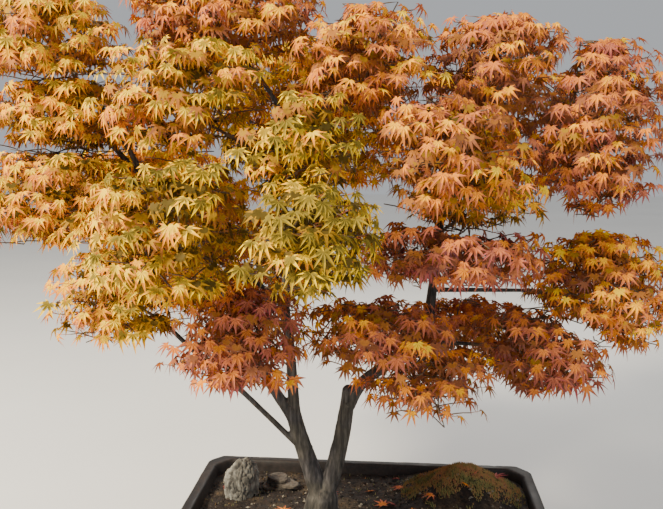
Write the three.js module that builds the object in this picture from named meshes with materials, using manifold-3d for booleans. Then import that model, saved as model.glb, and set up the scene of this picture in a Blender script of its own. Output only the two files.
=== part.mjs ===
// A potted maple in autumn colour: a low forking trunk, arching boughs and layered masses of leaves.
// Millimetres, +Z up. The origin is the middle of the pot's flat underside.
import * as THREE from 'three';
import { mergeVertices } from 'three/addons/utils/BufferGeometryUtils.js';
import Module from 'manifold-3d';

const wasm = await Module();
wasm.setup();

// Clearances
const GAP = 0.3;                  // between pieces that meet
const LIMB_SWELL = 0.48;          // by which a limb is larger where it cuts the next one
const LEAF_CLEARANCE = 1.5;       // between a limb and a leaf or twig that passes it
const SPACE_MARGIN = 0.035;       // share of its reach that a mass keeps from its neighbour's space
const WELD = 0.05;                // shortest edge kept after a cut or a join

// Pot
const POT_LENGTH = 830;
const POT_WIDTH = 600;
const POT_HEIGHT = 212;
const POT_CORNER = 32;            // cut off each corner along the sides
const POT_TAPER = 36;             // each side draws in by this towards the base
const POT_FLOOR = 22;
const POT_WALL = 26;
const LIP_HEIGHT = 36;
const LIP_OVERHANG = 11;
const EDGE = 5;                   // bevel on the lip and the base

// Soil
const SOIL_EDGE = 184;            // height of the soil along the wall
const SOIL_CROWN = 204;           // height of the level place under the trunk
const SOIL_SPREAD = 150;          // how far the mound reaches from the trunk
const SOIL_PARTS = [1, 8, 1, 6];  // parts of a cut corner, a long side, a cut corner and a short side
const SOIL_RINGS = [0.12, 0.34, 0.56, 0.76, 0.92];
const TRUNK_PLACE = [-95, -25];
const TRUNK_SEAT = 68;            // radius of the level place under the trunk
const HUMP = { place: [235, 165], radius: 100, height: 80 };

// A rounded stone that lies on the soil: place, half sizes and turn
const STONE = { place: [-300, 128], half: [44, 38, 58], turn: 0.5 };

// Flat stones that lie on each other beside it. Each slab has a shift along x and y and a share of the size.
const SLABS = { place: [-212, 186], half: [44, 31], turn: -0.3, sunk: 4 };
const SLAB_LAYERS = [[0, 0, 1], [5, -3, 0.88], [-6, 2, 0.66]];
const SLAB_THICKNESS = 9;
const SLAB_SIDES = 11;
const SLAB_OVERLAP = 1;           // by which a slab sinks into the one below

// Trunk
const TRUNK_TOP = 292;
const TRUNK_RADIUS = 33;
const TRUNK_SHOULDER = 9;         // by which the top draws in between the two stems
const TRUNK_FLARE = 22;           // added to the radius at the ground
const FLARE_HEIGHT = 24;          // the flare falls to a third over this height
const ROOT_RIDGES = 5;
const RIDGE_DEPTH = 0.2;
const TRUNK_LEAN = [12, 0];       // sideways shift from the ground to the fork
const TRUNK_SIDES = 16;
const TRUNK_LEVELS = [0, 6, 15, 28, 45, 66, 88];

// Limbs that show between the leaves: route along the middle, radius at each end, number of sides
const LIMBS = {
  stem_left: {
    radii: [22, 16], sides: 12, knob: true,
    route: [[-88, -26, 252], [-106, -30, 325], [-130, -35, 400], [-148, -40, 470]],
  },
  stem_right: {
    radii: [21, 14.5], sides: 12, knob: true,
    route: [[-84, -24, 258], [-60, -26, 340], [-42, -27, 420], [-29, -30, 512]],
  },
  stem_thin: {
    radii: [6.5, 4.8], sides: 7,
    route: [[-114, -33, 366], [-172, -52, 434], [-268, -85, 545], [-325, -104, 600], [-385, -113, 662]],
  },
  leader_left: {
    radii: [12, 5.8], sides: 9,
    route: [[-143, -39, 452], [-148, -40, 530], [-154, -30, 610], [-165, -20, 705], [-155, -10, 810],
      [-140, -10, 905], [-118, -14, 1015], [-78, -12, 1118]],
  },
  limb_left: {
    radii: [11.5, 5.5], sides: 9,
    route: [[-143, -40, 448], [-188, -46, 520], [-252, -66, 645], [-285, -70, 735], [-335, -66, 835],
      [-425, -52, 930], [-520, -35, 1030]],
  },
  limb_right: {
    radii: [13, 10.5], sides: 9, knob: true,
    route: [[-31, -30, 484], [3, -26, 535], [55, -20, 572], [105, -10, 615], [140, 0, 682]],
  },
  leader_right: {
    radii: [10.5, 5.5], sides: 8,
    route: [[136, -2, 668], [146, 10, 745], [152, 15, 820], [166, 25, 915], [184, 34, 1010], [214, 54, 1092]],
  },
};

// Side boughs
const BOUGH_SIDES = 5;
const BOUGH_STEPS = 4;
const BOUGH_TIP = 3.6;            // radius where a bough ends
const BOUGH_TAPER = 0.009;        // radius gained for each millimetre back from the tip
const BOUGH_ENTRY = 0.8;          // depth of the bough's end in the mass, 1 at its surface

// Masses of foliage: the limb that each grows from and how far along it, where its middle is, how far
// it reaches along x, y and z, and its leaf tint. One that starts at 1 grows on from that limb's tip.
const MASSES = {
  low_left: { from: ['limb_left', 0.27], at: [-220, -185, 668], reach: [168, 170, 95], tint: 'amber' },
  low_mid: { from: ['limb_right', 0.52], at: [22, -90, 650], reach: [212, 180, 68], tint: 'rust' },
  low_front: { from: ['limb_right', 0.63], at: [135, -135, 575], reach: [160, 130, 65], tint: 'rust' },
  low_right: { from: ['limb_right', 0.74], at: [358, -25, 617], reach: [168, 190, 90], tint: 'rust' },
  right_low: { from: ['leader_right', 0.14], at: [482, 15, 730], reach: [182, 200, 122], tint: 'amber' },
  front_left: { from: ['leader_left', 0.35], at: [-300, -315, 886], reach: [195, 190, 120], tint: 'gold' },
  front_mid: { from: ['leader_left', 0.42], at: [-80, -335, 880], reach: [150, 180, 100], tint: 'gold' },
  left_low: { from: ['stem_thin', 1], at: [-450, -125, 733], reach: [185, 190, 98], tint: 'amber' },
  left_mid: { from: ['limb_left', 0.66], at: [-620, -60, 925], reach: [225, 190, 110], tint: 'gold' },
  left_upper: { from: ['limb_left', 1], at: [-595, -20, 1090], reach: [210, 190, 98], tint: 'gold' },
  left_top: { from: ['limb_left', 0.84], at: [-622, -60, 1235], reach: [205, 190, 100], tint: 'amber' },
  upper_left: { from: ['leader_left', 0.72], at: [-320, -155, 1115], reach: [195, 190, 116], tint: 'gold' },
  top_left: { from: ['leader_left', 0.82], at: [-295, 20, 1275], reach: [262, 200, 100], tint: 'red' },
  centre: { from: ['leader_left', 0.62], at: [-115, -185, 1020], reach: [170, 170, 108], tint: 'gold' },
  top_mid: { from: ['leader_left', 1], at: [0, -5, 1182], reach: [200, 200, 120], tint: 'amber' },
  front_right: { from: ['leader_right', 0.5], at: [150, -155, 1010], reach: [180, 180, 110], tint: 'amber' },
  top_right: { from: ['leader_right', 1], at: [270, 85, 1165], reach: [225, 200, 132], tint: 'rust' },
  right_upper: { from: ['leader_right', 0.68], at: [472, 65, 1066], reach: [160, 210, 187], tint: 'red' },
  right_mid: { from: ['leader_right', 0.4], at: [215, -65, 917], reach: [158, 140, 70], tint: 'gold' },
  mid_low: { from: ['leader_right', 0.23], at: [170, -140, 825], reach: [205, 150, 65], tint: 'rust' },
  back_left: { from: ['leader_left', 0.53], at: [-550, 300, 900], reach: [300, 210, 115], tint: 'amber' },
  back_mid: { from: ['leader_left', 0.67], at: [-130, 375, 1100], reach: [300, 210, 195], tint: 'gold' },
  back_right: { from: ['leader_right', 0.45], at: [310, 380, 1055], reach: [295, 210, 170], tint: 'rust' },
  back_low: { from: ['leader_left', 0.3], at: [-340, 245, 745], reach: [250, 180, 135], tint: 'amber' },
  back_low_right: { from: ['limb_right', 0.84], at: [240, 225, 570], reach: [230, 170, 90], tint: 'rust' },
};
const SQUARENESS = 3;             // power in a mass's shape: 2 is an ellipsoid, more is nearer to a box

// Twigs and leaves
const STEM_SIDES = 5;
const STEM_SINK = 0.22;           // the stem's end lies this share of the reach below the middle
const STEM_END = 2.6;             // radius
const STEM_FORKS = [0.37, 0.62, 0.87];
const TWIG_START = 1.7;           // radius
const TWIG_END = 1.5;
const TWIG_LEAN = 0.12;           // least share of the way to its fork that a twig rises from the leaf
const COLLAR_ANGLES = [0, 2, 4].map((part) => part * Math.PI / 3);
const PATH_WEIGHT = 0.1;          // how much a long way back to the stem counts against a fork
const SEED = 140;                 // of the first mass
const SEED_STEP = 17;             // from one mass to the next
const GOLDEN_ANGLE = Math.PI * (3 - Math.sqrt(5));
const LEAF_AREA = 8750;           // surface of the mass that each leaf is dealt, in square millimetres
const LEAF_LOWEST = -0.55;        // leaves are dealt from the mass's top down to this share of its reach
const LEAF_TIP_DEPTHS = [0.97, 0.86, 0.74, 0.6];
const LEAF_SIZES = [130, 106, 82];  // from the middle of the leaf to its tip, the largest that fits
const LEAF_THICKNESS = 5.6;
const LEAF_DROOP = 0.22;          // the tips hang by this share of the size
const LEAF_TILT = 0.8;            // how far a leaf faces outwards rather than up
const LEAF_TURN = 0.9;            // spread of the ways a leaf points, in radians
const LEAF_RIM = [[0, 1], [25, 0.5], [48, 0.92], [78, 0.45], [106, 0.7]];  // degrees from the tip, length
const LEAF_FOOT = 0.18;           // length opposite the tip

// Colours
const COLOURS = {
  bark: 0x6e6256,
  pot: 0x3a2c26,
  soil: 0x5b4f36,
  stone: 0x9a978c,
  gold: 0xd9a53a,
  amber: 0xd08432,
  rust: 0xa9552a,
  red: 0xb8402c,
};

const UP = new THREE.Vector3(0, 0, 1);
const vec = (p) => new THREE.Vector3(...p);
const lerp = THREE.MathUtils.lerp;

// A repeatable stream of numbers from 0 to 1
function stream(seed) {
  let state = seed >>> 0;
  return () => {
    state = (state + 0x6d2b79f5) >>> 0;
    let mixed = Math.imul(state ^ (state >>> 15), 1 | state);
    mixed = (mixed + Math.imul(mixed ^ (mixed >>> 7), 61 | mixed)) ^ mixed;
    return ((mixed ^ (mixed >>> 14)) >>> 0) / 4294967296;
  };
}

// Geometry and solids

// Joins rings of equally many points into one closed skin, with a flat cap on the first and last
function loft(rings) {
  const sides = rings[0].length;
  const points = rings.flat();
  const faces = [];
  for (let ring = 0; ring + 1 < rings.length; ring++) {
    for (let side = 0; side < sides; side++) {
      const a = ring * sides + side;
      const b = ring * sides + (side + 1) % sides;
      faces.push(a, b, b + sides, a, b + sides, a + sides);
    }
  }
  const last = (rings.length - 1) * sides;
  for (let side = 1; side + 1 < sides; side++) {
    faces.push(0, side + 1, side);
    faces.push(last, last + side, last + side + 1);
  }
  return skin(points, faces);
}

function skin(points, faces) {
  const geometry = new THREE.BufferGeometry();
  geometry.setAttribute('position', new THREE.Float32BufferAttribute(points.flatMap((p) => p.toArray()), 3));
  geometry.setIndex(faces);
  return geometry;
}

function toSolid(geometry) {
  const bare = geometry.clone();
  bare.deleteAttribute('normal');
  bare.deleteAttribute('uv');
  const merged = mergeVertices(bare);
  return new wasm.Manifold(new wasm.Mesh({
    numProp: 3,
    vertProperties: new Float32Array(merged.attributes.position.array),
    triVerts: new Uint32Array(merged.index.array),
  }));
}

function toGeometry(solid) {
  const mesh = solid.getMesh();
  const geometry = new THREE.BufferGeometry();
  geometry.setAttribute('position', new THREE.BufferAttribute(mesh.vertProperties, 3));
  geometry.setIndex(new THREE.BufferAttribute(mesh.triVerts, 1));
  return geometry;
}

// The largest body of a solid: sealed hollows are filled and loose scraps dropped
function largest(solid) {
  const bodies = solid.simplify(WELD).decompose();
  return bodies.reduce((best, body) => (body.volume() > best.volume() ? body : best));
}

function boxesMeet(one, other) {
  const a = one.boundingBox();
  const b = other.boundingBox();
  return a.min.every((low, i) => low <= b.max[i]) && b.min.every((low, i) => low <= a.max[i]);
}

// Limbs

// A tapering tube along a curve. "swell" makes it larger all over, for clearances.
function tube(curve, radii, { sides, steps, knob = false, swell = 0 }) {
  const frames = curve.computeFrenetFrames(steps, false);
  const rings = [];
  const addRing = (at, step, radius) => {
    const ring = [];
    for (let side = 0; side < sides; side++) {
      const angle = 2 * Math.PI * side / sides;
      ring.push(at.clone()
        .addScaledVector(frames.normals[step], radius * Math.cos(angle))
        .addScaledVector(frames.binormals[step], radius * Math.sin(angle)));
    }
    rings.push(ring);
  };
  for (let step = 0; step <= steps; step++) {
    const at = curve.getPointAt(step / steps);
    if (step === 0) at.addScaledVector(frames.tangents[0], -swell);
    if (step === steps && !knob) at.addScaledVector(frames.tangents[steps], swell);
    addRing(at, step, lerp(radii[0], radii[1], step / steps) + swell);
  }
  if (knob) {
    for (const [along, width] of [[0.45, 0.86], [0.75, 0.5]]) {
      const at = curve.getPointAt(1).addScaledVector(frames.tangents[steps], along * radii[1] + swell);
      addRing(at, steps, radii[1] * width + swell);
    }
  }
  return toSolid(loft(rings));
}

function trunkSolid(swell = 0) {
  const rings = TRUNK_LEVELS.map((level, index) => {
    const share = level / (TRUNK_TOP - SOIL_CROWN);
    const flare = Math.exp(-level / FLARE_HEIGHT);
    const top = index === TRUNK_LEVELS.length - 1;
    const radius = TRUNK_RADIUS + TRUNK_FLARE * flare - (top ? TRUNK_SHOULDER : 0) + swell;
    const ring = [];
    for (let side = 0; side < TRUNK_SIDES; side++) {
      const angle = 2 * Math.PI * side / TRUNK_SIDES;
      const ridge = 1 + RIDGE_DEPTH * flare * Math.cos(ROOT_RIDGES * angle + 0.6);
      ring.push(new THREE.Vector3(
        TRUNK_PLACE[0] + TRUNK_LEAN[0] * share + radius * ridge * Math.cos(angle),
        TRUNK_PLACE[1] + TRUNK_LEAN[1] * share + radius * ridge * Math.sin(angle),
        SOIL_CROWN + GAP + level + (top ? swell : 0),
      ));
    }
    return ring;
  });
  return toSolid(loft(rings));
}

// Limbs are kept with their curve, their solid, and a larger solid that others keep clear of
const limbs = new Map();

function addLimb(name, curve, radii, shape) {
  let body = tube(curve, radii, shape);
  for (const other of limbs.values()) {
    body = body.subtract(other.cutter);
  }
  limbs.set(name, {
    curve,
    radii,
    body: largest(body),
    cutter: tube(curve, radii, { ...shape, swell: LIMB_SWELL }),
    guard: tube(curve, radii, { ...shape, swell: LEAF_CLEARANCE }),
  });
}

function addTrunk() {
  limbs.set('trunk', {
    body: trunkSolid(),
    cutter: trunkSolid(LIMB_SWELL),
    guard: trunkSolid(LEAF_CLEARANCE),
  });
}

function addMainLimbs() {
  for (const [name, limb] of Object.entries(LIMBS)) {
    const curve = new THREE.CatmullRomCurve3(limb.route.map(vec));
    const steps = 2 * (limb.route.length - 1);
    addLimb(name, curve, limb.radii, { sides: limb.sides, steps, knob: limb.knob });
  }
}

// The length of a way out from a mass's middle, with 1 at the mass's surface
function squareLength(way) {
  const sum = way.toArray().reduce((total, part) => total + Math.abs(part) ** SQUARENESS, 0);
  return sum ** (1 / SQUARENESS);
}

// How far a point lies from a mass's middle, as a share of the mass's reach that way
function depth(mass, point) {
  return squareLength(point.clone().sub(vec(mass.at)).divide(vec(mass.reach)));
}

// A side bough leaves its limb sideways, rises and levels out, and ends where it enters its mass
function addBough(name, mass) {
  const [limbName, share] = mass.from;
  const start = limbs.get(limbName).curve.getPointAt(share);
  const middle = vec(mass.at);
  const entry = start.clone().lerp(middle, Math.max(0.3, 1 - BOUGH_ENTRY / depth(mass, start)));
  const bend = start.clone().lerp(entry, 0.5);
  bend.z = lerp(bend.z, Math.max(start.z, entry.z), 0.35);
  const curve = new THREE.QuadraticBezierCurve3(start, bend, entry);
  const radii = [BOUGH_TIP + BOUGH_TAPER * curve.getLength(), BOUGH_TIP];
  addLimb(name, curve, radii, { sides: BOUGH_SIDES, steps: BOUGH_STEPS });
}

// Foliage

// The rim of a palmate leaf of five lobes that hang back from its middle. It faces along "face".
function leafRim({ middle, ahead, face, size }) {
  const aside = new THREE.Vector3().crossVectors(face, ahead);
  const half = LEAF_RIM.map(([angle, length]) => [THREE.MathUtils.degToRad(angle), length]);
  const mirrored = half.slice(1).reverse().map(([angle, length]) => [-angle, length]);
  return [...half, [Math.PI, LEAF_FOOT], ...mirrored].map(([angle, length]) => middle.clone()
    .addScaledVector(ahead, size * length * Math.cos(angle))
    .addScaledVector(aside, size * length * Math.sin(angle))
    .addScaledVector(face, -size * LEAF_DROOP * length * length));
}

// A leaf and its twig as one skin. The leaf is thickest in the middle and runs out to its rim, and
// the twig's three sides grow out of the face that is turned to the fork.
function leafOnTwig(rim, { middle, ahead, face }, fork) {
  const side = Math.sign(fork.clone().sub(middle).dot(face));
  const up = face.clone().multiplyScalar(side);
  const aside = new THREE.Vector3().crossVectors(up, ahead);
  const round = side > 0 ? rim : [...rim].reverse();
  const along = fork.clone().sub(middle).normalize();
  const collar = [];
  const foot = [];
  for (const angle of COLLAR_ANGLES) {
    const out = ahead.clone().multiplyScalar(Math.cos(angle)).addScaledVector(aside, Math.sin(angle));
    collar.push(middle.clone().addScaledVector(up, LEAF_THICKNESS / 2).addScaledVector(out, TWIG_END));
    out.addScaledVector(along, -out.dot(along)).normalize();
    foot.push(fork.clone().addScaledVector(out, TWIG_START));
  }
  const back = middle.clone().addScaledVector(up, -LEAF_THICKNESS / 2);
  const points = [...round, ...collar, ...foot, back];
  const count = round.length;
  const nearest = (point) => {
    const near = middle.clone().lerp(point, TWIG_END / point.distanceTo(middle));
    const gaps = collar.map((corner) => corner.distanceTo(near));
    return gaps.indexOf(Math.min(...gaps));
  };
  const corners = round.map((point, i) => nearest(point.clone().lerp(round[(i + 1) % count], 0.5)));
  const faces = [];
  round.forEach((point, i) => {
    const next = (i + 1) % count;
    faces.push(i, next, count + corners[i], next, i, points.length - 1);
    if (corners[next] !== corners[i]) faces.push(next, count + corners[next], count + corners[i]);
  });
  collar.forEach((point, i) => {
    const next = (i + 1) % collar.length;
    const [a, b, c, d] = [count + i, count + next, count + 3 + next, count + 3 + i];
    faces.push(a, b, c, a, c, d);
  });
  faces.push(count + 3, count + 4, count + 5);
  return toSolid(skin(points, faces));
}

// Each mass keeps to its own space: inside its reach, and nearer to its middle than to any other
function inSpace(mass, point) {
  const own = depth(mass, point);
  return own <= 1 && Object.values(MASSES).every((other) => other === mass
    || depth(other, point) > own + SPACE_MARGIN);
}

function touchesAny(body, others) {
  return others.some((other) => boxesMeet(body, other) && !body.intersect(other).isEmpty());
}

// The mass's one stem grows on from the limb's tip, bends towards the mass's middle and ends there
function stemOf(mass, limb) {
  const heading = limb.curve.getTangentAt(1);
  const start = limb.curve.getPointAt(1).addScaledVector(heading, GAP);
  const end = vec(mass.at).setZ(mass.at[2] - STEM_SINK * mass.reach[2]);
  const bend = start.clone().addScaledVector(heading, 0.45 * start.distanceTo(end));
  const curve = new THREE.QuadraticBezierCurve3(start, bend, end);
  const body = tube(curve, [limb.radii[1], STEM_END], { sides: STEM_SIDES, steps: 4 });
  const nodes = STEM_FORKS.map((share) => ({
    at: curve.getPointAt(share),
    way: share * curve.getLength(),
    piece: body,
  }));
  return { nodes, body };
}

// Ways out from the middle of a mass to its leaves, dealt evenly by the golden angle from the top down
function leafWays(mass, random) {
  const [a, b, c] = mass.reach;
  const surface = 4 * Math.PI * (((a * b) ** 1.6 + (a * c) ** 1.6 + (b * c) ** 1.6) / 3) ** (1 / 1.6);
  const count = Math.round(surface * (1 - LEAF_LOWEST) / 2 / LEAF_AREA);
  const start = random() * 2 * Math.PI;
  return Array.from({ length: count }, (unused, i) => {
    const height = lerp(1, LEAF_LOWEST, (i + 0.5) / count);
    const level = Math.sqrt(1 - height * height);
    const angle = start + i * GOLDEN_ANGLE;
    const way = new THREE.Vector3(level * Math.cos(angle), level * Math.sin(angle), height);
    return way.divideScalar(squareLength(way));
  });
}

// A leaf faces outwards and up, and points outwards and down
function leafPose(way, random) {
  const outwards = way.clone().setZ(0).normalize();
  const face = new THREE.Vector3(
    LEAF_TILT * outwards.x + 0.4 * (random() - 0.5),
    LEAF_TILT * outwards.y + 0.4 * (random() - 0.5),
    1,
  ).normalize();
  const ahead = outwards.addScaledVector(face, -outwards.dot(face)).normalize();
  return { face, ahead: ahead.applyAxisAngle(face, LEAF_TURN * (random() - 0.5)) };
}

// One leaf with its twig, or nothing where it would leave the mass's space or touch what is there
function tryLeaf(mass, tree, tip, pose, size) {
  const middle = tip.clone().addScaledVector(pose.ahead, -size).addScaledVector(pose.face, LEAF_DROOP * size);
  const leaf = { ...pose, middle, size };
  const rim = leafRim(leaf);
  const cost = (node) => node.at.distanceTo(middle) + PATH_WEIGHT * node.way;
  const fork = tree.nodes.reduce((best, node) => (cost(node) < cost(best) ? node : best));
  const half = fork.at.clone().lerp(middle, 0.5);
  const length = fork.at.distanceTo(middle);
  const lean = Math.abs(fork.at.clone().sub(middle).dot(pose.face)) / length;
  if (length < size / 3 || lean < TWIG_LEAN) return null;
  if (![half, middle, ...rim].every((point) => inSpace(mass, point))) return null;
  const body = leafOnTwig(rim, leaf, fork.at);
  const others = tree.pieces.filter((piece) => piece !== fork.piece);
  if (touchesAny(body, [...guards, ...others])) return null;
  return { body, node: { at: half, way: fork.way + length / 2, piece: body } };
}

// Twigs fork from the stem and from each other, each to one leaf whose tip is at the mass's reach,
// or as near to it as there is room
function growMass(name, mass, seed) {
  const limb = limbs.get(mass.from[1] === 1 ? mass.from[0] : `bough_${name}`);
  const random = stream(seed);
  const stem = stemOf(mass, limb);
  const tree = { nodes: stem.nodes, pieces: [stem.body] };
  for (const way of leafWays(mass, random)) {
    const pose = leafPose(way, random);
    const choices = LEAF_TIP_DEPTHS.flatMap((share) => LEAF_SIZES.map((size) => ({ share, size })));
    for (const { share, size } of choices) {
      const tip = way.clone().multiplyScalar(share).multiply(vec(mass.reach)).add(vec(mass.at));
      const grown = inSpace(mass, tip) && tryLeaf(mass, tree, tip, pose, size);
      if (!grown) continue;
      tree.pieces.push(grown.body);
      tree.nodes.push(grown.node);
      break;
    }
  }
  return largest(wasm.Manifold.union(tree.pieces));
}

// Pot, soil and stones

// The pot's outline at a height, drawn in by "inset" from its widest
function potOutline(inset, z) {
  const x = POT_LENGTH / 2 - inset;
  const y = POT_WIDTH / 2 - inset;
  const shortX = x - POT_CORNER;
  const shortY = y - POT_CORNER;
  const corners = [[x, shortY], [shortX, y], [-shortX, y], [-x, shortY],
    [-x, -shortY], [-shortX, -y], [shortX, -y], [x, -shortY]];
  return corners.map(([px, py]) => new THREE.Vector3(px, py, z));
}

function potGeometry() {
  const underLip = POT_HEIGHT - LIP_HEIGHT;
  return loft([
    potOutline(POT_TAPER + EDGE, 0),
    potOutline(POT_TAPER, EDGE),
    potOutline(LIP_OVERHANG, underLip),
    potOutline(0, underLip + EDGE),
    potOutline(0, POT_HEIGHT - EDGE),
    potOutline(EDGE, POT_HEIGHT),
    potOutline(POT_WALL, POT_HEIGHT),
    potOutline(POT_WALL + POT_TAPER, POT_FLOOR),
  ]);
}

function soilHeight(x, y) {
  const fromTrunk = Math.hypot(x - TRUNK_PLACE[0], y - TRUNK_PLACE[1]) / SOIL_SPREAD;
  const fromHump = Math.hypot(x - HUMP.place[0], y - HUMP.place[1]) / HUMP.radius;
  const ripple = 2.5 * Math.sin(x / 41) * Math.cos(y / 33);
  return SOIL_EDGE + (SOIL_CROWN - SOIL_EDGE) * Math.exp(-fromTrunk * fromTrunk)
    + HUMP.height * Math.exp(-fromHump * fromHump) + ripple;
}

// The soil's outline at a height inside the pot, with points along each side
function soilOutline(z) {
  const inset = POT_WALL + GAP + POT_TAPER * (POT_HEIGHT - z) / (POT_HEIGHT - POT_FLOOR);
  const corners = potOutline(inset, z);
  return corners.flatMap((corner, i) => {
    const next = corners[(i + 1) % corners.length];
    const parts = SOIL_PARTS[i % SOIL_PARTS.length];
    return Array.from({ length: parts }, (unused, part) => corner.clone().lerp(next, part / parts));
  });
}

// The soil fills the pot. Its surface climbs in rings from the wall to the level place under the trunk.
function soilSolid() {
  const rim = soilOutline(SOIL_EDGE);
  const seatMiddle = new THREE.Vector3(...TRUNK_PLACE, SOIL_CROWN);
  const seat = rim.map((point) => {
    const outwards = point.clone().sub(seatMiddle).setZ(0).normalize();
    return seatMiddle.clone().addScaledVector(outwards, TRUNK_SEAT);
  });
  const slopes = SOIL_RINGS.map((share) => rim.map((point, i) => {
    const at = point.clone().lerp(seat[i], share);
    return at.setZ(soilHeight(at.x, at.y));
  }));
  return toSolid(loft([soilOutline(POT_FLOOR + GAP), rim, ...slopes, seat]));
}

function stoneSolid({ place, half, turn }, soil) {
  const geometry = new THREE.IcosahedronGeometry(1, 1);
  const positions = geometry.attributes.position;
  for (let i = 0; i < positions.count; i++) {
    const p = new THREE.Vector3().fromBufferAttribute(positions, i);
    const lump = 1 + 0.1 * Math.sin(3.1 * p.x + 0.4) + 0.09 * Math.sin(4.3 * p.y + 2.2)
      + 0.07 * Math.sin(3.7 * p.z + 5.1);
    p.multiplyScalar(lump).multiply(vec(half)).applyAxisAngle(UP, turn);
    positions.setXYZ(i, p.x + place[0], p.y + place[1], p.z + soilHeight(...place) + 0.45 * half[2]);
  }
  return largest(toSolid(geometry).subtract(soil.translate([0, 0, GAP])));
}

function slabsSolid({ place, half, turn, sunk }, soil) {
  const foot = soilHeight(...place) - sunk;
  const outline = (layer, size, z) => Array.from({ length: SLAB_SIDES }, (unused, side) => {
    const angle = 2 * Math.PI * side / SLAB_SIDES;
    const [x, y, share] = SLAB_LAYERS[layer];
    const radius = size * share * (1 + 0.12 * Math.sin(2 * angle + 2.1 * layer)
      + 0.09 * Math.sin(3 * angle + 1.3 * layer + 1));
    return new THREE.Vector3(radius * half[0] * Math.cos(angle), radius * half[1] * Math.sin(angle), z)
      .applyAxisAngle(UP, turn)
      .add(new THREE.Vector3(place[0] + x, place[1] + y, 0));
  });
  const slabs = SLAB_LAYERS.map((unused, layer) => {
    const low = foot + layer * SLAB_THICKNESS;
    const high = low + SLAB_THICKNESS;
    return toSolid(loft([
      outline(layer, 0.95, low - SLAB_OVERLAP),
      outline(layer, 1, low + 0.25 * SLAB_THICKNESS),
      outline(layer, 1, high - 0.25 * SLAB_THICKNESS),
      outline(layer, 0.94, high),
    ]));
  });
  return largest(wasm.Manifold.union(slabs).subtract(soil.translate([0, 0, GAP])));
}

// The whole plant
const plant = new THREE.Group();

function addPiece(name, geometry, colour, roughness) {
  geometry.computeVertexNormals();
  const material = new THREE.MeshStandardMaterial({ color: COLOURS[colour], roughness, metalness: 0 });
  const mesh = new THREE.Mesh(geometry, material);
  mesh.name = name;
  plant.add(mesh);
}

addTrunk();
addMainLimbs();
for (const [name, mass] of Object.entries(MASSES)) {
  if (mass.from[1] < 1) addBough(`bough_${name}`, mass);
}
const guards = [...limbs.values()].map((limb) => limb.guard);
for (const [name, limb] of limbs) {
  addPiece(name, toGeometry(limb.body), 'bark', 0.85);
}
Object.entries(MASSES).forEach(([name, mass], index) => {
  addPiece(`foliage_${name}`, toGeometry(growMass(name, mass, SEED + SEED_STEP * index)), mass.tint, 0.6);
});

const soil = soilSolid();
addPiece('pot', potGeometry(), 'pot', 0.55);
addPiece('soil', toGeometry(soil), 'soil', 0.95);
addPiece('stone_tall', toGeometry(stoneSolid(STONE, soil)), 'stone', 0.8);
addPiece('stone_flat', toGeometry(slabsSolid(SLABS, soil)), 'stone', 0.8);

export default plant;
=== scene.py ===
"""A potted maple in autumn leaf: its bark, twigs, leaves, pot, soil and stones.

Lengths are millimetres in the part's own frame, and MM turns them into metres for Blender.
"""
import math

import bpy
import numpy as np
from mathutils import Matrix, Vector, noise
from mathutils.kdtree import KDTree


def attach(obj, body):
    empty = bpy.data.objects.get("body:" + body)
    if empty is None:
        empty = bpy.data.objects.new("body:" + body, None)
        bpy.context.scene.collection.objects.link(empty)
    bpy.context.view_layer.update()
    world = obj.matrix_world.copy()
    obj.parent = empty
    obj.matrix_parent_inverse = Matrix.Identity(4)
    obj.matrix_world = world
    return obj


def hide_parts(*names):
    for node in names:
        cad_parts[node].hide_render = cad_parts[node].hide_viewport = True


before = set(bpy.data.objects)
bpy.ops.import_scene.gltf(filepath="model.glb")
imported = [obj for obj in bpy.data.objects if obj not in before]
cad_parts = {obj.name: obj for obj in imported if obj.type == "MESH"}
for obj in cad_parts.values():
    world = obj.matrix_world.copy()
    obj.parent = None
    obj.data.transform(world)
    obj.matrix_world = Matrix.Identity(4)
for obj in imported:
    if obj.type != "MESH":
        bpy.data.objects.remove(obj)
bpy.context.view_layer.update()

MM = 0.001
SEED = 140  # of the first mass
SEED_STEP = 17  # from one mass to the next
GOLDEN_ANGLE = math.pi * (3 - math.sqrt(5))
UP = np.array([0.0, 0.0, 1.0])

# Camera: the photo's viewing angle, with its turns in degrees
CAMERA_PLACE = (67.4, -1552.2, 1047.7)
CAMERA_TURN = 5
CAMERA_PITCH = 9  # below the level
CAMERA_LENS = 40.72
CAMERA_SENSOR = 36  # its width

# Lights: kind, place and width in metres, power and colour
LIGHTS = {
    "key": ("POINT", (-2.9, -2.0, 3.1), 0.8, 1600, (1.0, 0.9, 0.7)),
    "fill": ("AREA", (2.8, -2.8, 1.6), 3.0, 36, (0.9, 0.95, 1.0)),
    "back": ("AREA", (0.6, 3.0, 2.8), 2.0, 60, (1.0, 0.95, 0.86)),
}
LIGHT_TARGET = (0, 0, 0.9)  # in metres
SKY_COLOUR = (0.91, 0.94, 0.98, 1)
SKY_STRENGTH = 0.5
FLOOR_REACH = 12000

# Pot
POT_LENGTH = 830
POT_WIDTH = 600
POT_HEIGHT = 212
POT_CORNER = 32  # cut off each corner along the sides
POT_TAPER = 36  # each side draws in by this towards the base
POT_FLOOR = 22
POT_WALL = 26
LIP_HEIGHT = 36
LIP_OVERHANG = 11
EDGE = 5  # bevel on the lip and the base
ARRIS = 2.5  # finer bevel on every edge
POT_WAVES = (55, 0.7)  # width and height of the unevenness of its faces
POT_DENTS = (17, 3.0)  # width and depth

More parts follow.
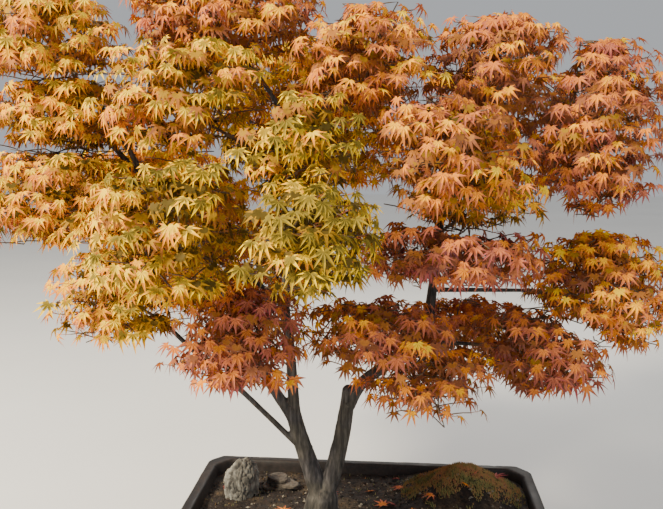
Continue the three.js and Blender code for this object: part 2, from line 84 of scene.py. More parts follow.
# Soil
SOIL_EDGE = 184  # height of the soil along the wall
SOIL_CROWN = 204  # height of the soil under the trunk
SOIL_SPREAD = 150  # how far the mound reaches from the trunk
SOIL_RIPPLE = 2.5
SOIL_LUMPS = (26, 4.5)  # width and height
SOIL_MARGIN = 6  # kept clear along the wall by what lies on the soil
TRUNK_SEAT = 68  # radius of the level place under the trunk
HUMP_PLACE = (235, 165)
HUMP_RADIUS = 100
HUMP_HEIGHT = 80

# What lies on the soil
CRUMBS = 3200
MOSS_TUFTS = 9000
MOSS_ON_HUMP = 0.8  # share of the tries
MOSS_REACH = (150, 110)  # over the hump, along x and y
MOSS_PATCH = 34
FALLEN_LEAVES = 34
CLEAR_OF_TRUNK = 60

# Stones: place, half sizes and turn
STONE = ((-300, 128), (44, 38, 58), 0.5)
STONE_LUMPS = ((0.1, 3.1, 0.4), (0.09, 4.3, 2.2), (0.07, 3.7, 5.1))  # height, waves, phase on each axis
STONE_RISE = 0.45  # of its middle over the soil, as a share of its half height
SLABS = ((-212, 186), (44, 31), -0.3)
SLAB_LAYERS = ((0, 0, 1), (5, -3, 0.88), (-6, 2, 0.66))  # shift along x and y, share of the size
SLAB_THICKNESS = 9
SLAB_SUNK = 4

# A slab's side, as shares of its size and thickness, from under it to the middle of its top
SLAB_SIDE = ((0.3, 0.02), (0.93, 0.0), (0.985, 0.12), (1, 0.3), (0.985, 0.5), (1, 0.7), (0.985, 0.88),
             (0.93, 0.99), (0.75, 1.0), (0.5, 0.98), (0.25, 1.01), (0.06, 1.0))

# Trunk
TRUNK_PLACE = (-95, -25)
TRUNK_TOP = 292
TRUNK_RADIUS = 33
TRUNK_SHOULDER = 9  # by which the top draws in between the two stems
SHOULDER_HEIGHT = 22
TRUNK_FLARE = 22
FLARE_HEIGHT = 24
ROOT_RIDGES = 5
RIDGE_DEPTH = 0.2
RIDGE_TURN = 0.6
TRUNK_LEAN = 12  # along x
TRUNK_GAP = 0.4  # between its cut and the soil

# Limbs: radius at each end and route along the middle
LIMBS = {
    "stem_left": ((22, 16), [(-88, -26, 252), (-106, -30, 325), (-130, -35, 400), (-148, -40, 470)]),
    "stem_right": ((21, 14.5), [(-84, -24, 258), (-60, -26, 340), (-42, -27, 420), (-29, -30, 512)]),
    "stem_thin": ((6.5, 4.8), [(-114, -33, 366), (-172, -52, 434), (-268, -85, 545), (-325, -104, 600),
                               (-385, -113, 662)]),
    "leader_left": ((12, 5.8), [(-143, -39, 452), (-148, -40, 530), (-154, -30, 610), (-165, -20, 705),
                                (-155, -10, 810), (-140, -10, 905), (-118, -14, 1015), (-78, -12, 1118)]),
    "limb_left": ((11.5, 5.5), [(-143, -40, 448), (-188, -46, 520), (-252, -66, 645), (-285, -70, 735),
                                (-335, -66, 835), (-425, -52, 930), (-520, -35, 1030)]),
    "limb_right": ((13, 10.5), [(-31, -30, 484), (3, -26, 535), (55, -20, 572), (105, -10, 615),
                                (140, 0, 682)]),
    "leader_right": ((10.5, 5.5), [(136, -2, 668), (146, 10, 745), (152, 15, 820), (166, 25, 915),
                                   (184, 34, 1010), (214, 54, 1092)]),
}
STEMS = ("stem_left", "stem_right")  # these carry on the trunk's grain and have no collar
KNOBBED = (*STEMS, "limb_right")  # these end in a knob
KNOB = 1.04  # its radius, as a share of the limb's
COLLAR = 0.35  # swelling where a limb leaves another, as a share of its radius
COLLAR_LENGTH = 18
BOUGH_TIP = 3.6  # radius of a side bough's tip
BOUGH_TAPER = 0.009  # radius gained for each millimetre of its length
BOUGH_ENTRY = 0.8  # how far a bough ends from its mass's middle, as a share of the mass's reach
BOUGH_LEAST = 0.3  # least share of the way there that it runs
BOUGH_RISE = 0.35

# The bark's relief: width and length of its ridges and lumps, and their height as a share of the radius
RIDGES = (5, 34, 0.045)
LUMPS = (22, 40, 0.07)
LUMP_OFFSET = 7  # sets the limbs' lumps apart from the trunk's
LEAST_RADIUS = 6  # thinner limbs have the relief of this one
TRUNK_RELIEF = 24  # the trunk has the relief of a limb of this radius
WOOD_VOXEL = 2.2
WOOD_SMOOTHING = 5

# Masses of foliage: the limb that each grows from and how far along it, its middle, its reach, and its
# warmth: the step in LEAF_COLOURS that its leaves keep near to
MASSES = {
    "low_left": ("limb_left", 0.27, (-220, -185, 668), (168, 170, 95), 6.2),
    "low_mid": ("limb_right", 0.52, (22, -90, 650), (212, 180, 68), 5.5),
    "low_front": ("limb_right", 0.63, (135, -135, 575), (160, 130, 65), 5.4),
    "low_right": ("limb_right", 0.74, (358, -25, 617), (168, 190, 90), 5.8),
    "right_low": ("leader_right", 0.14, (482, 15, 730), (182, 200, 122), 4.5),
    "front_left": ("leader_left", 0.35, (-300, -315, 886), (195, 190, 120), 2.0),
    # front_mid keeps to the darkest olive steps: partly the leaves' own olive, partly painted shade on the
    # middle of the crown
    "front_mid": ("leader_left", 0.42, (-80, -335, 880), (150, 180, 100), 0.6),
    "left_low": ("stem_thin", 1, (-450, -125, 733), (185, 190, 98), 2.6),
    "left_mid": ("limb_left", 0.66, (-620, -60, 925), (225, 190, 110), 2.8),
    "left_upper": ("limb_left", 1, (-595, -20, 1090), (210, 190, 98), 2.7),
    "left_top": ("limb_left", 0.84, (-622, -60, 1235), (205, 190, 100), 3.0),
    "upper_left": ("leader_left", 0.72, (-320, -155, 1115), (195, 190, 116), 2.6),
    "top_left": ("leader_left", 0.82, (-295, 20, 1275), (262, 200, 100), 4.6),
    "centre": ("leader_left", 0.62, (-115, -185, 1020), (170, 170, 108), 1.7),
    "top_mid": ("leader_left", 1, (0, -5, 1182), (200, 200, 120), 4.6),
    "front_right": ("leader_right", 0.5, (150, -155, 1010), (180, 180, 110), 4.6),
    "top_right": ("leader_right", 1, (270, 85, 1165), (225, 200, 132), 5.2),
    "right_upper": ("leader_right", 0.68, (472, 65, 1066), (160, 210, 187), 5.6),
    "right_mid": ("leader_right", 0.4, (215, -65, 917), (158, 140, 70), 2.8),
    "mid_low": ("leader_right", 0.23, (170, -140, 825), (205, 150, 65), 6.8),
    "back_left": ("leader_left", 0.53, (-550, 300, 900), (300, 210, 115), 3.6),
    "back_mid": ("leader_left", 0.67, (-130, 375, 1100), (300, 210, 195), 3.0),
    "back_right": ("leader_right", 0.45, (310, 380, 1055), (295, 210, 170), 5.0),
    "back_low": ("leader_left", 0.3, (-340, 245, 745), (250, 180, 135), 4.4),
    "back_low_right": ("limb_right", 0.84, (240, 225, 570), (230, 170, 90), 5.6),
}
SQUARENESS = 3  # power in a mass's shape: 2 is an ellipsoid, more is nearer to a box
STEM_SINK = 0.22  # how far below its mass's middle a stem ends, as a share of the mass's height
STEM_BEND = 0.45
STEM_END = 2.2  # radius
STEM_FORKS = (0.2, 0.37, 0.5, 0.62, 0.75, 0.87, 1.0)
PATH_WEIGHT = 0.1  # how much the way back along the twigs counts in the choice of a fork

# The joined pieces of leaves: material slot and masses
LEAF_PIECES = {
    "leaves_front": ("leaf_gold", ("front_left", "front_mid", "centre", "upper_left", "front_right",
                                   "right_mid", "mid_low")),
    "leaves_left": ("leaf_amber", ("left_low", "left_mid", "left_upper", "left_top", "top_left")),
    "leaves_right": ("leaf_rust", ("top_mid", "top_right", "right_upper", "right_low")),
    "leaves_low": ("leaf_rust", ("low_left", "low_mid", "low_front", "low_right", "back_low_right",
                                 "back_low")),
    "leaves_back": ("leaf_amber", ("back_left", "back_mid", "back_right")),
}

# Sprays: shells of each mass, from the outside in, as the share of its reach and the surface dealt to each
SHELLS = ((1.0, 3900), (0.78, 5000), (0.54, 8500))
LEAF_LOWEST = -0.9  # no spray hangs below this share of a mass's reach
TIER = 50  # height from one layer of leaves to the next
TIER_PULL = 0.2  # how far a spray moves to its layer
TIER_WAVES = ((0.021, 0.008, 15), (-0.012, 0.027, 13), (0.035, -0.02, 7))  # across x and y, and height
SPRAY_LENGTH = 66
SPRAY_TURN = 0.8  # radians
SPRAY_RISE = 0.06
TWIG_RISE = 0.16
TWIG_RADIUS = 1.0
TWIG_TAPER = 0.004  # radius gained for each millimetre towards the stem
PAIR_SPACING = 23
TIP_SPREAD = 28  # degrees between a twig and the leaf stalks at its tip
PAIR_SPREAD = 62  # the same further back
PETIOLE = 20
PETIOLE_RADII = (0.65, 0.5)
SPRAY_TINTS = 2.2  # steps by which the sprays of a mass differ
LEAF_TINTS = 1.8  # steps by which the leaves of a spray differ

# A leaf's lobes: degrees from the middle lobe, and length
LOBES = ((-112, 0.4), (-74, 0.72), (-37, 0.93), (0, 1.0), (37, 0.93), (74, 0.72), (112, 0.4))
LOBE_WIDEST = 0.46  # along the lobe
LOBE_HALF_WIDTH = 0.08  # there
LOBE_SWING = 0.14  # radians by which a lobe's tip may bend aside
LEAF_SIZE = 32  # from the middle of the leaf to the tip of its middle lobe
LEAF_HEEL = 0.45  # radians between the outer lobes and the leaf's base
LEAF_NOTCH = 0.26  # from the middle to the notch between two lobes
LEAF_FOLD = 0.45  # rise of a lobe's edges, as a share of its half width
LEAF_CURVE = 0.32  # fall of a lobe's tip, as a share of its length
LEAF_CLOSING = 0.3  # how far a leaf that droops closes
LEAF_SHAPES = 8
LEAF_TURN = 0.9  # radians
LEAF_ROLL = 0.8

# Leaf colours from olive through gold and amber to crimson, in steps of warmth
LEAF_COLOURS = ("857229", "a78a2a", "f4cc22", "f8b61a", "ea942a", "d4803c", "c27048", "b0664e",
                "a65e50", "a25450", "a24a50", "943e4e")

# Leaves inside a mass: duller, darker copies, one for every two of the steps above, as painted shade between
# the outer leaves and partly the duller colour of leaves grown in shade
SHADED_INNER_COLOURS = ("5c4b1f", "a47a1e", "a66a32", "925a3c", "804e44", "724046")

CRUMB_COLOURS = ("17110e", "291f19", "43382f", "857c6d", "221a11")
MOSS_COLOURS = ("bc8358", "ab8652", "938a50", "7b7c4a")


def repeatable(seed):
    """A repeatable stream of numbers from 0 to 1."""
    state = seed
    while True:
        state = (state + 0x6D2B79F5) & 0xFFFFFFFF
        mixed = ((state ^ (state >> 15)) * (1 | state)) & 0xFFFFFFFF
        mixed = ((mixed + ((mixed ^ (mixed >> 7)) * (61 | mixed) & 0xFFFFFFFF)) ^ mixed) & 0xFFFFFFFF
        yield (mixed ^ (mixed >> 14)) / 4294967296


# Lines


def unit(v):
    return v / np.linalg.norm(v)


def horizontal(v):
    flat = np.array([v[0], v[1], 0.0])
    return flat / max(np.linalg.norm(flat), 1e-6)


def about(axis, v, angle):
    """The vector turned about an axis."""
    cos, sin = math.cos(angle), math.sin(angle)
    return v * cos + np.cross(axis, v) * sin + axis * (axis @ v) * (1 - cos)


def ways_along(points):
    """How far each point lies along a line."""
    return np.concatenate([[0], np.cumsum(np.linalg.norm(np.diff(points, axis=0), axis=1))])


def length_of(line):
    return np.linalg.norm(np.diff(line, axis=0), axis=1).sum()


def evenly(points, count):
    """The same line through equally spaced points."""
    ways = ways_along(points)
    wanted = np.linspace(0, ways[-1], count)
    return np.stack([np.interp(wanted, ways, points[:, i]) for i in range(3)], axis=1)


def spread_over(values, count):
    """Values along a line, read again in more or fewer even steps."""
    return np.interp(np.linspace(0, 1, count), np.linspace(0, 1, len(values)), values)


def spline(route, count=200, steps=40):
    """A centripetal Catmull-Rom curve through a route."""
    p = np.array(route, float)
    p = np.vstack([2 * p[0] - p[1], p, 2 * p[-1] - p[-2]])
    pieces = []
    for p0, p1, p2, p3 in zip(p, p[1:], p[2:], p[3:]):
        d0, d1, d2 = (math.sqrt(np.linalg.norm(b - a)) for a, b in ((p0, p1), (p1, p2), (p2, p3)))
        m1 = d1 * ((p1 - p0) / d0 - (p2 - p0) / (d0 + d1) + (p2 - p1) / d1)
        m2 = d1 * ((p2 - p1) / d1 - (p3 - p1) / (d1 + d2) + (p3 - p2) / d2)
        t = np.linspace(0, 1, steps, endpoint=False)[:, None]
        square = 3 * (p2 - p1) - 2 * m1 - m2
        cube = 2 * (p1 - p2) + m1 + m2
        pieces.append(p1 + m1 * t + square * t ** 2 + cube * t ** 3)
    return evenly(np.vstack([*pieces, p[-2:-1]]), count)


def bezier(start, bend, end, count=24):
    t = np.linspace(0, 1, count)[:, None]
    return evenly((1 - t) ** 2 * start + 2 * t * (1 - t) * bend + t ** 2 * end, count)


def point_at(line, share):
    spot = share * (len(line) - 1)
    low = min(int(spot), len(line) - 2)
    return line[low] + (line[low + 1] - line[low]) * (spot - low)


def frames_along(line):
    """Directions along and across a line at each of its points, carried along it without twist."""
    along = np.gradient(line, axis=0)
    along /= np.linalg.norm(along, axis=1)[:, None]
    first = np.cross(along[0], UP if abs(along[0][2]) < 0.9 else np.array([1.0, 0.0, 0.0]))
    across = [unit(first)]
    for direction in along[1:]:
        across.append(unit(across[-1] - direction * (across[-1] @ direction)))
    across = np.array(across)
    return along, across, np.cross(along, across)


# Meshes


def linked(name, data):
    """An object for a mesh, light or camera, put in the scene."""
    piece = bpy.data.objects.new(name, data)
    bpy.context.scene.collection.objects.link(piece)
    return piece


def mesh_object(name, points, faces, materials, tints=None, smooth=True):
    mesh = bpy.data.meshes.new(name)
    mesh.vertices.add(len(points))
    mesh.vertices.foreach_set("co", (np.asarray(points) * MM).ravel())
    mesh.loops.add(faces.size)
    mesh.loops.foreach_set("vertex_index", faces.ravel())
    mesh.polygons.add(len(faces))
    mesh.polygons.foreach_set("loop_start", np.arange(0, faces.size, faces.shape[1]))
    for material in materials:
        mesh.materials.append(material)
    if tints is not None:
        mesh.polygons.foreach_set("material_index", np.asarray(tints, int))
    mesh.polygons.foreach_set("use_smooth", np.full(len(faces), smooth))
    mesh.update(calc_edges=True)
    mesh.validate()
    return linked(name, mesh)


class Joined:
    """Many small shapes, gathered from arrays into one mesh."""

    def __init__(self):
        self.points = []
        self.faces = []
        self.tints = []
        self.count = 0

    def add(self, points, faces, tints=0):
        self.points.append(points)
        self.faces.append(faces + self.count)
        self.tints.append(np.broadcast_to(tints, len(faces)))
        self.count += len(points)

    def build(self, name, materials, smooth=True):
        return mesh_object(name, np.vstack(self.points), np.vstack(self.faces), materials,
                           np.concatenate(self.tints), smooth)


def circle(sides):
    """Even angles round a circle."""
    return 2 * math.pi * np.arange(sides) / sides


def loft(rings):
    """Points and triangles that join rings of equally many points, with a fan on the first and last."""
    rings = np.asarray(rings)
    count, sides = rings.shape[:2]
    a = (np.arange(count - 1)[:, None] * sides + np.arange(sides)).ravel()
    b = (np.arange(count - 1)[:, None] * sides + (np.arange(sides) + 1) % sides).ravel()
    walls = np.concatenate([np.stack([a, b, b + sides], 1), np.stack([a, b + sides, a + sides], 1)])
    side = np.arange(1, sides - 1)
    last = (count - 1) * sides
    foot = np.stack([np.zeros_like(side), side + 1, side], 1)
    top = np.stack([np.full_like(side, last), last + side, last + side + 1], 1)
    return rings.reshape(-1, 3), np.concatenate([walls, foot, top])


def tube(line, radii, sides):
    """Points and faces of a tapering tube along a line."""
    _, across, aside = frames_along(line)
    angles = circle(sides)
    ring = np.cos(angles)[None, :, None] * across[:, None] + np.sin(angles)[None, :, None] * aside[:, None]
    return loft(line[:, None] + ring * np.asarray(radii)[:, None, None])


def ball(middle, radius, rings=10, sides=16, pole=0.04):
    """Points and faces of a ball whose poles are cut off by a small angle."""
    angles = circle(sides)
    points = [np.stack([math.sin(turn) * np.cos(angles), math.sin(turn) * np.sin(angles),
                        np.full(sides, math.cos(turn))], 1)
              for turn in np.linspace(pole, math.pi - pole, rings)[::-1]]
    return loft(middle + radius * np.array(points))


def add_remesh(piece, voxel):
    remesh = piece.modifiers.new("remesh", "REMESH")
    remesh.mode = "VOXEL"
    remesh.voxel_size = voxel * MM


def read_all(items, name, kind=float):
    """Three numbers from each of a mesh's points or triangles."""
    values = np.empty(len(items) * 3, kind)
    items.foreach_get(name, values)
    return values.reshape(-1, 3)


def evaluated(piece):
    """A piece's points, triangles and normals with its modifiers applied. The piece itself is removed."""
    mesh = piece.evaluated_get(bpy.context.evaluated_depsgraph_get()).to_mesh()
    mesh.calc_loop_triangles()
    points = read_all(mesh.vertices, "co") / MM
    normals = read_all(mesh.vertices, "normal")
    triangles = read_all(mesh.loop_triangles, "vertices", int)
    bpy.data.objects.remove(piece)
    return points, triangles, normals


# Materials


def linear(colour):
    """A colour written as six hex digits, in linear light."""
    parts = [int(colour[i:i + 2], 16) / 255 for i in (0, 2, 4)]
    return (*((part / 12.92 if part < 0.04045 else ((part + 0.055) / 1.055) ** 2.4) for part in parts), 1)


class Surface:
    """A Principled material and its nodes."""

    def __init__(self, name, roughness):
        self.material = bpy.data.materials.new(name)
        self.material.use_nodes = True
        self.tree = self.material.node_tree
        self.shader = self.tree.nodes["Principled BSDF"]
        self.place = self.tree.nodes.new("ShaderNodeTexCoord").outputs["Object"]
        self.give("Roughness", roughness)

    def set(self, socket, value):
        if isinstance(value, bpy.types.NodeSocket):
            self.tree.links.new(value, socket)
        else:
            socket.default_value = value

    def give(self, name, value):
        """Gives one of the shader's own sockets a constant or another node's output."""
        self.set(self.shader.inputs[name], value)

    def node(self, kind, **inputs):
        node = self.tree.nodes.new(kind)
        for name, value in inputs.items():
            self.set(node.inputs[name.replace("_", " ")], value)
        return node

    def stretched(self, scale):
        return self.node("ShaderNodeMapping", Vector=self.place, Scale=scale).outputs["Vector"]

    def noise(self, scale, detail, place=None):
        node = self.node("ShaderNodeTexNoise", Vector=place or self.place, Scale=scale, Detail=detail,
                         Roughness=0.55)
        return node.outputs["Fac"]

    def ramp(self, factor, stops):
        node = self.node("ShaderNodeValToRGB", Fac=factor)
        ramp = node.color_ramp
        ramp.elements[0].position, ramp.elements[0].color = stops[0][0], linear(stops[0][1])
        ramp.elements[1].position, ramp.elements[1].color = stops[-1][0], linear(stops[-1][1])
        for position, colour in stops[1:-1]:
            ramp.elements.new(position).color = linear(colour)
        return node.outputs["Color"]

    def span(self, value, low, high, to_low=0.0, to_high=1.0):
        """A value stretched from one range to another, and held within it."""
        node = self.node("ShaderNodeMapRange", Value=value, From_Min=low, From_Max=high, To_Min=to_low,
                         To_Max=to_high)
        return node.outputs["Result"]

    def mix(self, factor, one, other):
        node = self.tree.nodes.new("ShaderNodeMix")
        node.data_type = "RGBA"
        self.set(node.inputs["Factor"], factor)
        # the colour sockets share their names with the number and vector ones
        colours = [socket for socket in node.inputs if socket.type == "RGBA"]
        self.set(colours[0], one)
        self.set(colours[1], other)
        return next(socket for socket in node.outputs if socket.type == "RGBA")

    def patchy(self, grain, patches, one, other):
        """One row of colours along the grain, and the other in patches."""
        self.give("Base Color", self.mix(patches, self.ramp(grain, one), self.ramp(grain, other)))

    def bump(self, height, strength, distance):
        node = self.node("ShaderNodeBump", Height=height, Strength=strength, Distance=distance)
        self.give("Normal", node.outputs["Normal"])


def leaf_material(step, colour):
    surface = Surface(f"leaf_tint_{step}", 0.55)
    surface.give("Base Color", linear(colour))
    surface.give("Specular IOR Level", 0.06)
    surface.bump(surface.noise(900.0, 3.0), 0.25, 0.0006)
    return surface.material


def petiole_material():
    surface = Surface("petioles", 0.5)
    surface.give("Base Color", surface.ramp(surface.noise(30.0, 2.0), ((0.35, "9c4a34"), (0.65, "b9703f"))))
    return surface.material


def twig_material():
    surface = Surface("twigs", 0.7)
    surface.give("Base Color", surface.ramp(surface.noise(40.0, 3.0), ((0.35, "4a3a2c"), (0.6, "6f5a44"))))
    surface.bump(surface.noise(300.0, 2.0), 0.3, 0.0005)
    return surface.material


def bark_material():
    """Grey bark in fine streaks along the limb, olive in patches."""
    surface = Surface("bark", 0.82)
    streaks = surface.noise(1.0, 6.0, surface.stretched((150, 150, 26)))
    surface.patchy(streaks, surface.span(surface.noise(14.0, 3.0), 0.45, 0.6),
                   ((0.32, "1b1a1a"), (0.5, "3b3737"), (0.7, "5c5756")),
                   ((0.32, "1e1c1a"), (0.5, "3d3933"), (0.7, "5a554d")))
    surface.bump(streaks, 0.5, 0.0015)
    return surface.material


def pot_material():
    """Dark brown stoneware, worn paler and rougher in clouds."""
    surface = Surface("pot", 0.6)
    clouds = surface.noise(9.0, 5.0)
    fine = surface.noise(120.0, 4.0)
    surface.patchy(fine, surface.span(clouds, 0.42, 0.66), ((0.35, "171210"), (0.65, "251e1b")),
                   ((0.3, "27201d"), (0.7, "3d322c")))
    surface.give("Roughness", surface.span(clouds, 0.35, 0.7, 0.5, 0.75))
    surface.bump(fine, 0.25, 0.001)
    return surface.material


def soil_material():
    """Grainy earth with mossy patches."""
    surface = Surface("soil", 0.95)
    grain = surface.noise(210.0, 5.0)
    surface.patchy(grain, surface.span(surface.noise(11.0, 5.0), 0.5, 0.62),
                   ((0.3, "0f0b09"), (0.5, "221914"), (0.72, "3a2d24")),
                   ((0.3, "231a12"), (0.5, "433525"), (0.72, "64533a")))
    surface.bump(grain, 0.6, 0.002)
    return surface.material


def stone_material(name, dark, light, crust):
    """Stone in darker and paler streaks, with a pale crust of lichen in patches."""
    surface = Surface(name, 0.9)
    streaks = surface.noise(1.0, 6.0, surface.stretched((120, 120, 60)))
    surface.patchy(streaks, surface.span(surface.noise(26.0, 6.0), 0.44, 0.58),
                   ((0.3, dark), (0.7, light)), ((0.35, light), (0.6, crust)))
    surface.bump(streaks, 0.5, 0.0015)
    return surface.material


def plain_materials(name, colours):
    """Plain colours with a fine grain."""
    surfaces = [Surface(f"{name}_{index}", 0.9) for index in range(len(colours))]
    for surface, colour in zip(surfaces, colours):
        surface.give("Base Color", linear(colour))
        surface.bump(surface.noise(700.0, 3.0), 0.3, 0.0006)
    return [surface.material for surface in surfaces]


def floor_material():
    surface = Surface("floor", 0.9)
    surface.give("Base Color", surface.ramp(surface.noise(1.5, 2.0), ((0.3, "eeece8"), (0.7, "f3f1ed"))))
    return surface.material


# Wood


def depth(point, middle, reach):
    """How far a point lies from a mass's middle, as a share of the mass's reach that way."""
    return (np.abs((point - middle) / reach) ** SQUARENESS).sum(axis=-1) ** (1 / SQUARENESS)


def bough_line(limb, share, middle, reach):
    """A side bough, from its place on a limb to just inside its mass: its line and its radii."""
    start = point_at(limb, share)
    out = depth(start, np.array(middle), np.array(reach))
    entry = start + (np.array(middle) - start) * max(BOUGH_LEAST, 1 - BOUGH_ENTRY / out)
    bend = (start + entry) / 2
    bend[2] += BOUGH_RISE * (max(start[2], entry[2]) - bend[2])
    line = bezier(start, bend, entry)
    return line, np.linspace(BOUGH_TIP + BOUGH_TAPER * length_of(line), BOUGH_TIP, len(line))


def limb_lines():
    """Each limb's line through its middle and the radii along it, for the limbs, then the side boughs."""
    lines = {}
    for name, (radii, route) in LIMBS.items():
        line = spline(route)
        lines[name] = (line, np.linspace(*radii, len(line)))
    for name, (limb, share, middle, reach, _) in MASSES.items():
        if share < 1:
            lines[f"bough_{name}"] = bough_line(lines[limb][0], share, middle, reach)
    return lines


def trunk_skin(sides=72, step=3):
    """The trunk with its root flare and its drawn-in top, from the cut at the soil to the fork."""
    rings = []
    height = TRUNK_TOP - SOIL_CROWN
    angles = circle(sides)
    for level in np.arange(0, height + step, step):
        share = level / height
        flare = math.exp(-level / FLARE_HEIGHT)
        shoulder = TRUNK_SHOULDER * max(0.0, (level - height + SHOULDER_HEIGHT) / SHOULDER_HEIGHT)
        ridges = 1 + RIDGE_DEPTH * flare * np.cos(ROOT_RIDGES * angles + RIDGE_TURN)
        radius = (TRUNK_RADIUS + TRUNK_FLARE * flare - shoulder) * ridges
        rings.append(np.stack([TRUNK_PLACE[0] + TRUNK_LEAN * share + radius * np.cos(angles),
                               TRUNK_PLACE[1] + radius * np.sin(angles),
                               np.full(sides, SOIL_CROWN + TRUNK_GAP + level)], 1))
    return loft(rings)


def limb_skin(line, radii, sides, step, least, collar=0.0):
    """A limb in rings a step apart, which swells into a collar where it leaves another limb."""
    count = max(least, int(length_of(line) / step))
    swelling = 1 + collar * np.exp(-np.linspace(0, length_of(line), count) / COLLAR_LENGTH)
    return tube(evenly(line, count), spread_over(radii, count) * swelling, sides)


def joined_skin(lines):
    """Trunk and main limbs made into one skin."""
    shape = Joined()
    shape.add(*trunk_skin())
    for name in LIMBS:
        line, radii = lines[name]
        collar = 0.0 if name in STEMS else COLLAR
        shape.add(*limb_skin(line, radii, sides=24, step=6, least=12, collar=collar))
        if name in KNOBBED:
            shape.add(*ball(line[-1], radii[-1] * KNOB))
    piece = shape.build("wood_base", [])
    add_remesh(piece, WOOD_VOXEL)
    smooth = piece.modifiers.new("smooth", "SMOOTH")
    smooth.factor = 0.5
    smooth.iterations = WOOD_SMOOTHING
    return evaluated(piece)


def bark_guides(lines):
    """Lines that the bark's grain follows, with the radii along them and whether the grain is upright."""
    top = (TRUNK_PLACE[0] + TRUNK_LEAN, TRUNK_PLACE[1], TRUNK_TOP)
    trunk = np.linspace((*TRUNK_PLACE, SOIL_CROWN), top, 60)
    limbs = [(*lines[name], name in STEMS) for name in LIMBS]
    return [(trunk, np.full(len(trunk), TRUNK_RELIEF), True), *limbs]


def relief_at(x, y, z, offset=0):
    """The bark's relief at a place, as a share of the limb's radius: ridges along z, and lumps."""
    width, length, height = RIDGES
    ridges = noise.fractal(Vector((x / width, y / width, z / length)), 0.9, 2.1, 4)
    lump_width, lump_length, lump_height = LUMPS
    lumps = noise.noise(Vector((x / lump_width, y / lump_width, z / lump_length + offset)))
    return height * ridges + lump_height * lumps


def bark_relief(points, normals, guides):
    """Moves the wood's points out and in by the bark's relief along the nearest guide."""
    spots = []
    for line, radii, upright in guides:
        ways = np.linspace(0, length_of(line), len(line))
        spots += [(*spot, upright) for spot in zip(line, *frames_along(line), ways, radii)]
    tree = KDTree(len(spots))
    for index, spot in enumerate(spots):
        tree.insert(spot[0], index)
    tree.balance()
    shifts = np.empty(len(points))
    for index, point in enumerate(points):
        at, along, across, aside, way, radius, upright = spots[tree.find(point)[1]]
        if upright:
            relief = relief_at(*point)
        else:
            off = point - at
            relief = relief_at(off @ across, off @ aside, way + off @ along, LUMP_OFFSET)
        shifts[index] = relief * max(radius, LEAST_RADIUS)
    return points + normals * shifts[:, None]


def make_wood(lines, material):
    """Trunk and main limbs with the bark's relief, level at the trunk's cut."""
    points, faces, normals = joined_skin(lines)
    moved = bark_relief(points, normals, bark_guides(lines))
    foot = points[:, 2] < SOIL_CROWN + TRUNK_GAP + 2
    moved[foot, 2] = points[foot, 2]
    return mesh_object("wood", moved, faces, [material])


def make_boughs(lines, material):
    joined = Joined()
    for name, (line, radii) in lines.items():
        if name.startswith("bough_"):
            joined.add(*limb_skin(line, radii, sides=9, step=8, least=8))
    return joined.build("boughs", [material])


# Pot


def pot_outline(inset, z):
    """The pot's eight corners at a height, drawn in by "inset" from its widest."""
    x, y = POT_LENGTH / 2 - inset, POT_WIDTH / 2 - inset
    short_x, short_y = x - POT_CORNER, y - POT_CORNER
    return np.array([(px, py, z) for px, py in (
        (x, short_y), (short_x, y), (-short_x, y), (-x, short_y),
        (-x, -short_y), (-short_x, -y), (short_x, -y), (x, -short_y))])


def pot_shape():
    """The pot as a plain mesh, from its underside up over the lip and down to its floor."""
    under_lip = POT_HEIGHT - LIP_HEIGHT
    profile = ((POT_TAPER + EDGE, 0), (POT_TAPER, EDGE), (LIP_OVERHANG, under_lip), (0, under_lip + EDGE),
               (0, POT_HEIGHT - EDGE), (EDGE, POT_HEIGHT), (POT_WALL, POT_HEIGHT),
               (POT_WALL + POT_TAPER, POT_FLOOR))
    rings = [pot_outline(inset, z) for inset, z in profile]
    walls = [(ring * 8 + side, ring * 8 + (side + 1) % 8, ring * 8 + 8 + (side + 1) % 8, ring * 8 + 8 + side)
             for ring in range(len(rings) - 1) for side in range(8)]
    last = (len(rings) - 1) * 8
    caps = [tuple(range(7, -1, -1)), tuple(range(last, last + 8))]
    mesh = bpy.data.meshes.new("pot_shape")
    mesh.from_pydata([tuple(point * MM) for point in np.vstack(rings)], [], walls + caps)
    return linked("pot_shape", mesh)


def make_pot(material, voxel=7.5):
    """The pot with its edges rounded and its faces a little uneven and dented."""
    shape = pot_shape()
    bevel = shape.modifiers.new("bevel", "BEVEL")
    bevel.width = ARRIS * MM
    bevel.segments = 3
    bevel.limit_method = "ANGLE"
    bevel.angle_limit = math.radians(20)
    add_remesh(shape, voxel)
    points, faces, normals = evaluated(shape)
    wave, wave_height = POT_WAVES
    dent, dent_depth = POT_DENTS
    uneven = np.array([noise.fractal(Vector(point / wave), 0.8, 2.0, 3) for point in points])
    dents = np.array([max(0.0, noise.noise(Vector(point / dent)) - 0.45) for point in points])
    points = points + normals * (wave_height * uneven - dent_depth * dents)[:, None]
    points[:, 2] = np.maximum(points[:, 2], 0)
    return mesh_object("pot_ware", points, faces, [material])


# Soil


def soil_height(x, y):
    """The height of the soil, with a mound under the trunk and a hump."""
    from_trunk = np.hypot(x - TRUNK_PLACE[0], y - TRUNK_PLACE[1]) / SOIL_SPREAD
    from_hump = np.hypot(x - HUMP_PLACE[0], y - HUMP_PLACE[1]) / HUMP_RADIUS
    ripple = SOIL_RIPPLE * np.sin(x / 41) * np.cos(y / 33)
    return (SOIL_EDGE + (SOIL_CROWN - SOIL_EDGE) * np.exp(-from_trunk ** 2)
            + HUMP_HEIGHT * np.exp(-from_hump ** 2) + ripple)


def soil_surface(x, y):
    """The soil's height with its lumps, level at the trunk's foot."""
    width, height = SOIL_LUMPS
    lumps = height * noise.fractal(Vector((x / width, y / width, 3)), 0.75, 2.2, 5)
    seat = math.exp(-(math.hypot(x - TRUNK_PLACE[0], y - TRUNK_PLACE[1]) / TRUNK_SEAT) ** 4)
    return soil_height(x, y) * (1 - seat) + (SOIL_CROWN - 0.5) * seat + lumps * (1 - 0.7 * seat)


